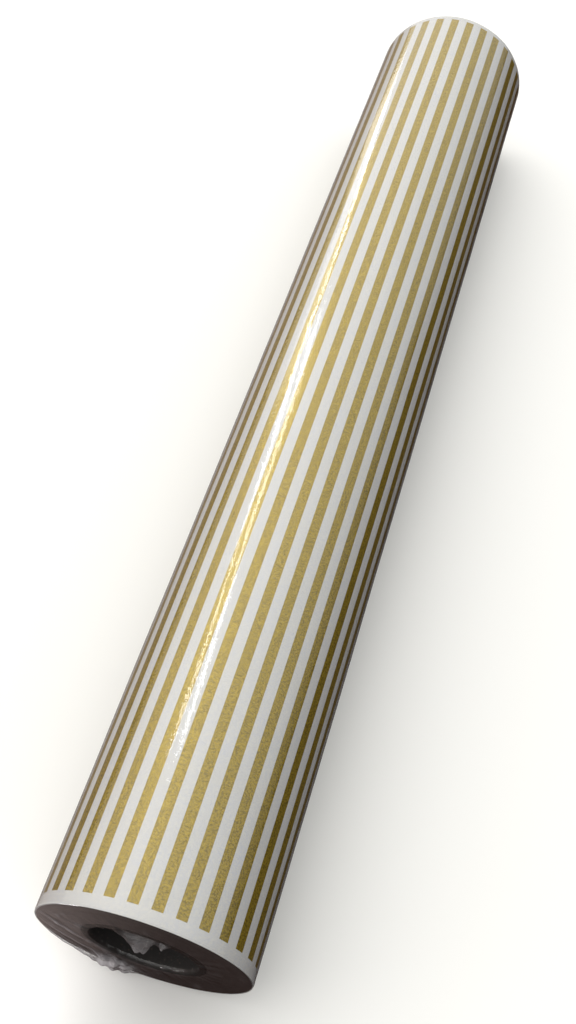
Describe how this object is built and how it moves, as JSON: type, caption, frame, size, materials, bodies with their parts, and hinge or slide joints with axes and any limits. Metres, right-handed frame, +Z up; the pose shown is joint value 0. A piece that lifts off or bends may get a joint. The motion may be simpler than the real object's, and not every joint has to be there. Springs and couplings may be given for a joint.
{
  "type": "wrapping paper roll",
  "caption": "Counter roll of striped gift wrapping paper wound on a board core with an open bore, overwrapped in clear shrink film that is tucked into the core at both ends.",
  "frame": {"origin": "middle of the core's bore, which is the middle of the roll", "axes": "+Y along the bore from the near end to the far end, +Z up as the roll lies on its side, +X to the right seen from the near end"},
  "size_m": [0.0976, 0.6202, 0.0976],
  "materials": {
    "board": "uncoated grey-brown core board, matt",
    "adhesive_tape": "clear adhesive tape, slightly yellow",
    "printed_paper": "coated pearl paper printed with metallic gold stripes along the roll",
    "shrink_film": "clear glossy shrink film with fine wrinkles"
  },
  "bodies": {
    "root": {"core_inner_ply": "board", "core_middle_ply_1": "board", "core_middle_ply_2": "board", "core_outer_ply": "board", "core_start_tape": "adhesive_tape", "paper_start_turn": "printed_paper", "paper_winding": "printed_paper", "paper_last_turns": "printed_paper", "tail_tapes": "adhesive_tape", "film_sleeve": "shrink_film", "film_near_end": "shrink_film", "film_far_end": "shrink_film"}
  },
  "joints": []
}
